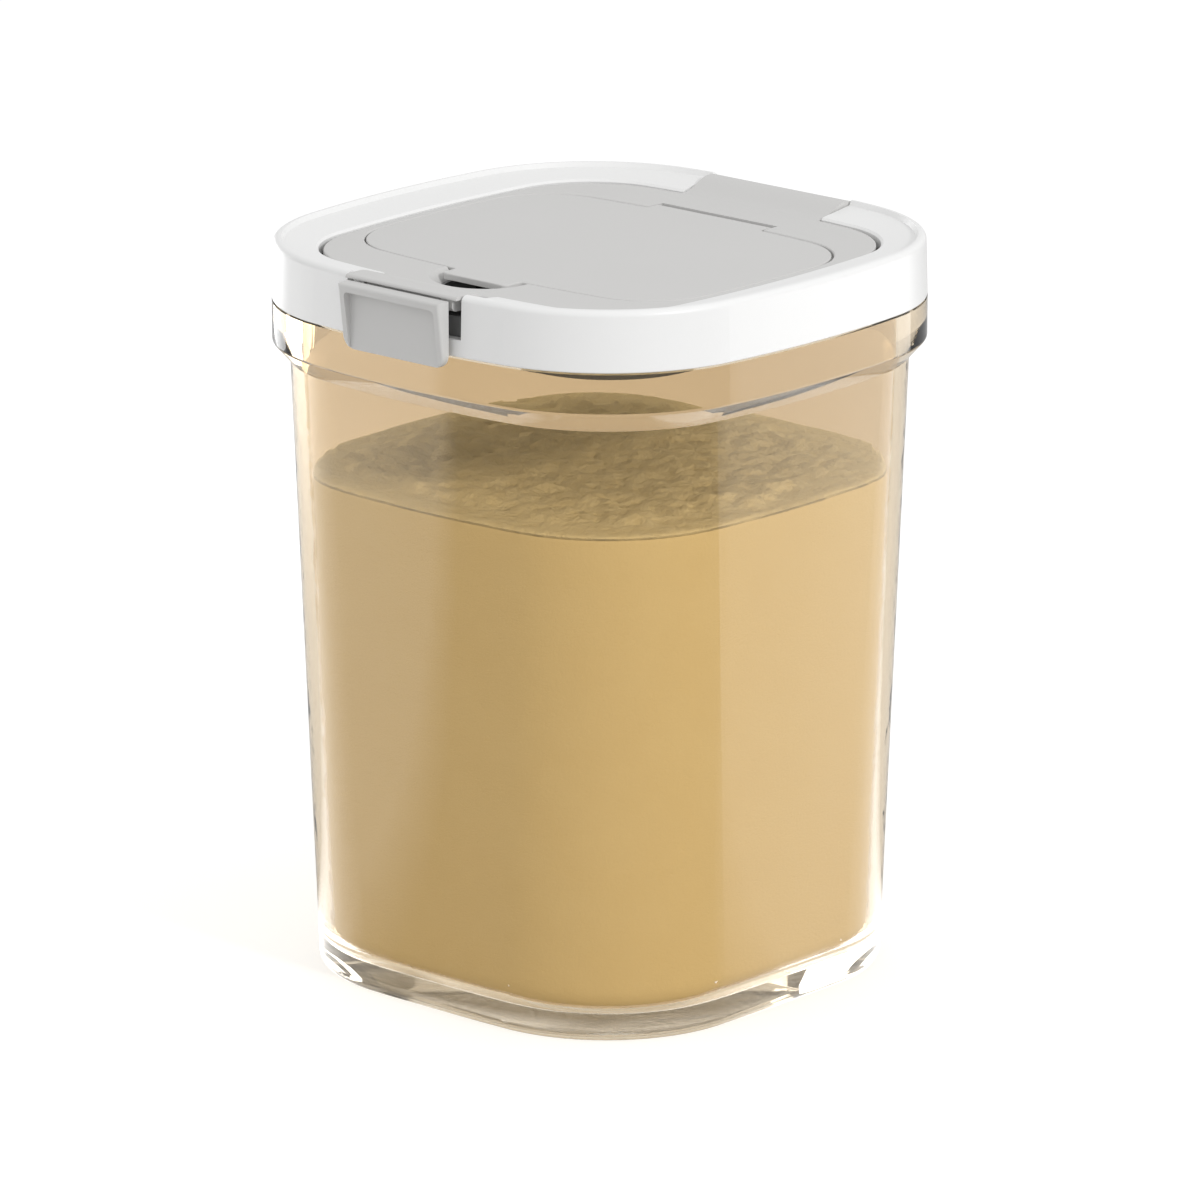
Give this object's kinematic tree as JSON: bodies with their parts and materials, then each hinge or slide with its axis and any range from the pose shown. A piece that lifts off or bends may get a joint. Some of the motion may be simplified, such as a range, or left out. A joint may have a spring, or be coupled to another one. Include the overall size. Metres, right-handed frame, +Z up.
{
  "type": "milk powder container",
  "caption": "Clear rounded-square powder canister with a clip-on rim ring, a hinged latched lid and a flap over a spoon compartment.",
  "frame": {"origin": "on the canister's axis, on the flat underside that it stands on", "axes": "+Z up; -Y is the front, where the latch is; +Y is the hinge side; +X is the right hand of a person facing the latch"},
  "size_m": [0.13, 0.1344, 0.1692],
  "materials": {
    "clear_amber_plastic": "clear, glossy, amber tint",
    "powder": "fine loose powder",
    "white_plastic": "satin moulded",
    "light_grey_plastic": "fine matte moulded",
    "grey_plastic": "matte moulded",
    "silicone": "soft matte",
    "pin_steel": "drawn wire"
  },
  "bodies": {
    "canister": {"canister": "clear_amber_plastic", "milk_powder": "powder"},
    "rim": {"lid_ring": "white_plastic", "seat_frame": "grey_plastic", "rim_gasket": "silicone", "lid_pin": "pin_steel"},
    "lid": {"lid_panel": "light_grey_plastic", "lid_gasket": "silicone", "spoon_tray": "grey_plastic", "latch_pin": "pin_steel"},
    "flap": {"flap": "light_grey_plastic"},
    "latch": {"latch": "light_grey_plastic"}
  },
  "joints": [
    {"name": "rim_lift", "type": "slide", "parent": "canister", "child": "rim", "axis": [0, 0, 1], "range_m": [0, 0.06]},
    {"name": "lid_hinge", "type": "hinge", "parent": "rim", "child": "lid", "pos_m": [0, 0.061, 0.1662], "axis": [-1, 0, 0], "range_deg": [0, 105]},
    {"name": "flap_hinge", "type": "hinge", "parent": "lid", "child": "flap", "pos_m": [0, 0.0384, 0.1648], "axis": [-1, 0, 0], "range_deg": [0, 95]},
    {"name": "latch_pivot", "type": "hinge", "parent": "lid", "child": "latch", "pos_m": [0, -0.063, 0.1667], "axis": [-1, 0, 0], "range_deg": [0, 50]}
  ]
}
